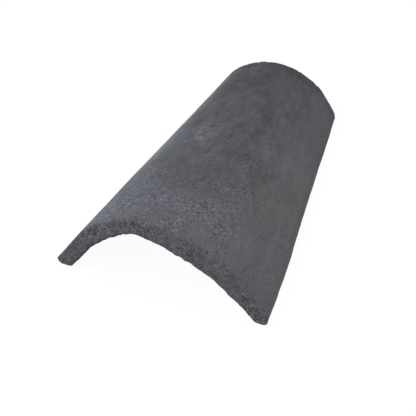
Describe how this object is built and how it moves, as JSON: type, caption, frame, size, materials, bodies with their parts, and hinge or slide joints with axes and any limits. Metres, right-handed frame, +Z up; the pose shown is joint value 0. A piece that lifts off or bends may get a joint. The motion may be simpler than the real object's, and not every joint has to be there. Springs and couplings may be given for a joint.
{
  "type": "barrel roof tile",
  "caption": "Tapered barrel roof tile of dark fired clay: an open, rounded arch on flat feet, wide at the tail and narrower at the head, so that tiles lap.",
  "frame": {"origin": "on the plane of the feet, half way across and half way along the tile", "axes": "X across the tile, +Y from the wide tail to the narrow head, +Z up out of the crown"},
  "size_m": [0.1998, 0.32, 0.0759],
  "materials": {
    "fired_clay": "matt, gritty, smoke-dark grey fired clay"
  },
  "bodies": {
    "root": {"barrel_tile": "fired_clay"}
  },
  "joints": []
}
